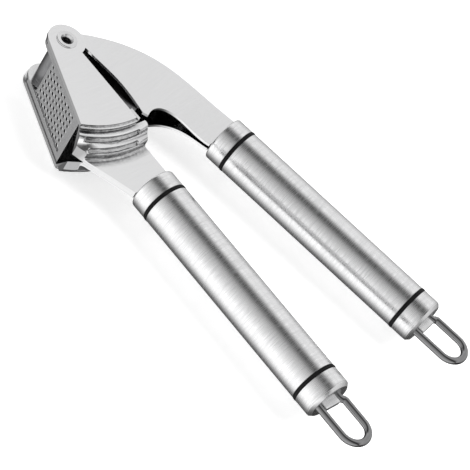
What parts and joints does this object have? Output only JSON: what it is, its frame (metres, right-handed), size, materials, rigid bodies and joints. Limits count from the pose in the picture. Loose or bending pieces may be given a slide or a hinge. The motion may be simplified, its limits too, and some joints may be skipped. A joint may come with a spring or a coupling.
{
  "type": "garlic press",
  "caption": "Hinged steel garlic press: stamped lower arm with swing-out perforated basket, folded upper arm with plunger, ringed brushed tube grips, wire hanging loops.",
  "frame": {"origin": "middle of the hinge axis, half way along the hollow hinge rivet", "axes": "+Z along the hinge axis, out of the rivet's low head; +X along the lower arm's grip tube, towards its hanging loop; +Y towards the upper arm. The press lies on its side."},
  "size_m": [0.2081, 0.1, 0.0285],
  "materials": {
    "polished_steel": "mirror-polished stamped stainless sheet",
    "brushed_grip": "stainless tube brushed around its axis",
    "satin_cap": "satin turned steel",
    "bright_wire": "polished round wire",
    "basket_steel": "polished sheet with punched holes",
    "plunger_steel": "plain satin steel",
    "black_ring": "matt black rubber",
    "core_plastic": "moulded plastic"
  },
  "bodies": {
    "lower_arm": {"lower_shell_left": "polished_steel", "lower_shell_right": "polished_steel", "hinge_rivet": "polished_steel", "lower_grip_tube": "brushed_grip", "lower_front_ring": "black_ring", "lower_rear_ring": "black_ring", "lower_front_plug": "satin_cap", "lower_tang_core": "core_plastic", "lower_end_cap": "satin_cap", "lower_hang_loop": "bright_wire"},
    "basket": {"pressing_basket": "basket_steel", "sieve_plate": "basket_steel"},
    "upper_arm": {"upper_arm_channel": "polished_steel", "plunger_pad": "plunger_steel", "plunger_bracket": "plunger_steel", "plunger_rivets": "plunger_steel", "hinge_spacer": "plunger_steel", "upper_grip_tube": "brushed_grip", "upper_front_ring": "black_ring", "upper_rear_ring": "black_ring", "upper_front_plug": "satin_cap", "upper_tang_core": "core_plastic", "upper_end_cap": "satin_cap", "upper_hang_loop": "bright_wire"}
  },
  "joints": [
    {"name": "basket_swing", "type": "hinge", "parent": "lower_arm", "child": "basket", "pos_m": [0, 0, 0], "axis": [0, 0, 1], "range_deg": [0, 75]},
    {"name": "arm_hinge", "type": "hinge", "parent": "basket", "child": "upper_arm", "pos_m": [0, 0, 0], "axis": [0, 0, 1], "range_deg": [-12, 60]}
  ]
}
